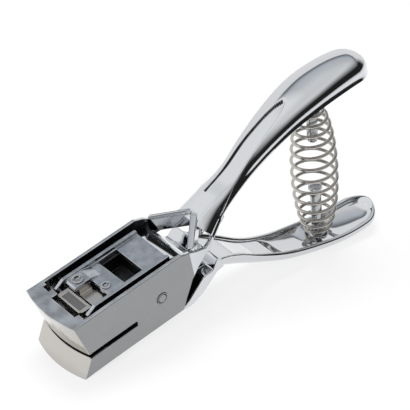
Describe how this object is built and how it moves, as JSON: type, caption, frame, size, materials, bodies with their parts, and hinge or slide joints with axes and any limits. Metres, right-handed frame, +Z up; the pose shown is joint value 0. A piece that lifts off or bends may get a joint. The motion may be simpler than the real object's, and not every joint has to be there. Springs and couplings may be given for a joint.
{
  "type": "id card slot punch",
  "caption": "Hand-held slot punch for badges and cards: cast head with a card slit, squeezed handles with a barrel spring, and a slot-shaped punch over a die.",
  "frame": {"origin": "middle of the footprint, at table height, as the punch stands on the front edge of its head and on the belly of its lower handle", "axes": "+X from the head to the handles' tips, +Y across the head to its far cheek, +Z up from the table; the head's own axes are tipped up at the back by 13.2 degrees"},
  "size_m": [0.1542, 0.029, 0.0809],
  "materials": {
    "chromed_casting": "polished",
    "pressed_steel": "satin",
    "ground_steel": "ground",
    "tool_steel": "ground",
    "screw_steel": "satin",
    "bright_steel": "polished",
    "spring_steel": "polished"
  },
  "bodies": {
    "frame": {"frame_casting": "chromed_casting", "guide_block": "ground_steel", "guide_screw_near": "screw_steel", "guide_screw_far": "screw_steel", "die_plate": "tool_steel", "die_screw_near": "screw_steel", "die_screw_far": "screw_steel", "pivot_pin": "bright_steel", "pivot_spacer_near": "ground_steel", "pivot_spacer_far": "ground_steel", "upper_spring_peg": "bright_steel", "spring": "spring_steel"},
    "lower_handle": {"lower_casting": "chromed_casting", "lever_channel": "pressed_steel", "channel_rivet": "bright_steel", "tongue_rivet": "bright_steel", "drive_block": "pressed_steel", "drive_pin_near": "bright_steel", "drive_pin_far": "bright_steel", "lower_spring_boss": "chromed_casting", "lower_spring_peg": "bright_steel"},
    "punch": {"punch_blade": "tool_steel", "punch_head": "pressed_steel", "head_rivet_near": "bright_steel", "head_rivet_far": "bright_steel"}
  },
  "joints": [
    {"name": "handle_pivot", "type": "hinge", "parent": "frame", "child": "lower_handle", "pos_m": [-0.03666, 0, 0.02062], "axis": [0, -1, 0], "range_deg": [0, 9], "stiffness_Nm_per_rad": 6, "springref_deg": -4.58, "deforming": ["spring"]},
    {"name": "punch_slide", "type": "slide", "parent": "frame", "child": "punch", "axis": [0.2284, 0, -0.9736], "range_m": [0, 0.00425]}
  ],
  "couplings": [
    {"joint": "punch_slide", "follows": "handle_pivot", "m_per_rad": 0.02701}
  ]
}
